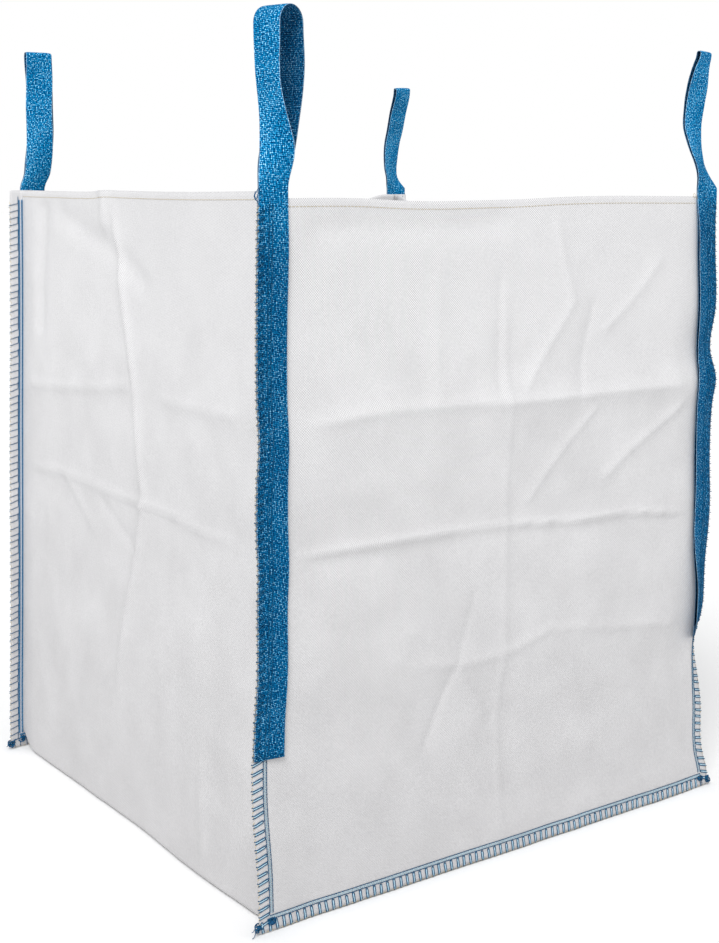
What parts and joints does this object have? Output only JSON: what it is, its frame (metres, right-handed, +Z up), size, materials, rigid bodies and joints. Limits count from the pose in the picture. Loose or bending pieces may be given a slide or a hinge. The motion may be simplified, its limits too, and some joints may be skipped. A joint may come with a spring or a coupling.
{
  "type": "bulk bag",
  "caption": "Open-topped square bulk bag of white woven cloth with outward seams, blue overlock stitching and webbing lifting loops at its corners.",
  "frame": {"origin": "on the floor under the middle of the bag", "axes": "+Z up, +X along the front side panel to its right, -Y out of the front side panel"},
  "size_m": [0.9772, 0.9573, 1.332],
  "materials": {
    "woven_cloth": "coated woven polypropylene, matt with a faint sheen",
    "lifting_webbing": "woven polypropylene webbing, soft sheen",
    "overlock_thread": "twisted sewing thread",
    "seam_thread": "twisted sewing thread",
    "pale_thread": "twisted sewing thread",
    "knot_thread": "tangled sewing thread"
  },
  "bodies": {
    "bag": {"u_panel": "woven_cloth", "front_side_panel": "woven_cloth", "front_bottom_overlock": "overlock_thread", "front_bottom_seam_stitch": "seam_thread", "front_hem_stitch": "pale_thread", "rear_side_panel": "woven_cloth", "rear_bottom_overlock": "overlock_thread", "rear_bottom_seam_stitch": "seam_thread", "rear_hem_stitch": "pale_thread", "left_hem_stitch": "pale_thread", "right_hem_stitch": "pale_thread", "front_left_overlock": "overlock_thread", "front_left_seam_stitch": "seam_thread", "front_left_thread_knot": "knot_thread", "front_left_strap_outer_leg": "lifting_webbing", "front_left_strap_inner_leg": "lifting_webbing", "front_right_overlock": "overlock_thread", "front_right_seam_stitch": "seam_thread", "front_right_thread_knot": "knot_thread", "front_right_strap_outer_leg": "lifting_webbing", "front_right_strap_inner_leg": "lifting_webbing", "rear_left_overlock": "overlock_thread", "rear_left_seam_stitch": "seam_thread", "rear_left_thread_knot": "knot_thread", "rear_left_strap_outer_leg": "lifting_webbing", "rear_left_strap_inner_leg": "lifting_webbing", "rear_right_overlock": "overlock_thread", "rear_right_seam_stitch": "seam_thread", "rear_right_thread_knot": "knot_thread", "rear_right_strap_outer_leg": "lifting_webbing", "rear_right_strap_inner_leg": "lifting_webbing"},
    "front_left_loop": {"front_left_lifting_loop": "lifting_webbing"},
    "front_right_loop": {"front_right_lifting_loop": "lifting_webbing"},
    "rear_left_loop": {"rear_left_lifting_loop": "lifting_webbing"},
    "rear_right_loop": {"rear_right_lifting_loop": "lifting_webbing"}
  },
  "joints": [
    {"name": "front_left_loop_fold", "type": "hinge", "parent": "bag", "child": "front_left_loop", "pos_m": [-0.45, -0.452, 1.075], "axis": [1, 0, 0], "range_deg": [-70, 150], "stiffness_Nm_per_rad": 0.08},
    {"name": "front_right_loop_fold", "type": "hinge", "parent": "bag", "child": "front_right_loop", "pos_m": [0.45, -0.452, 1.075], "axis": [1, 0, 0], "range_deg": [-70, 150], "stiffness_Nm_per_rad": 0.08},
    {"name": "rear_left_loop_fold", "type": "hinge", "parent": "bag", "child": "rear_left_loop", "pos_m": [-0.428, 0.452, 1.075], "axis": [-1, 0, 0], "range_deg": [-70, 150], "stiffness_Nm_per_rad": 0.08},
    {"name": "rear_right_loop_fold", "type": "hinge", "parent": "bag", "child": "rear_right_loop", "pos_m": [0.45, 0.452, 1.075], "axis": [-1, 0, 0], "range_deg": [-70, 150], "stiffness_Nm_per_rad": 0.08}
  ]
}
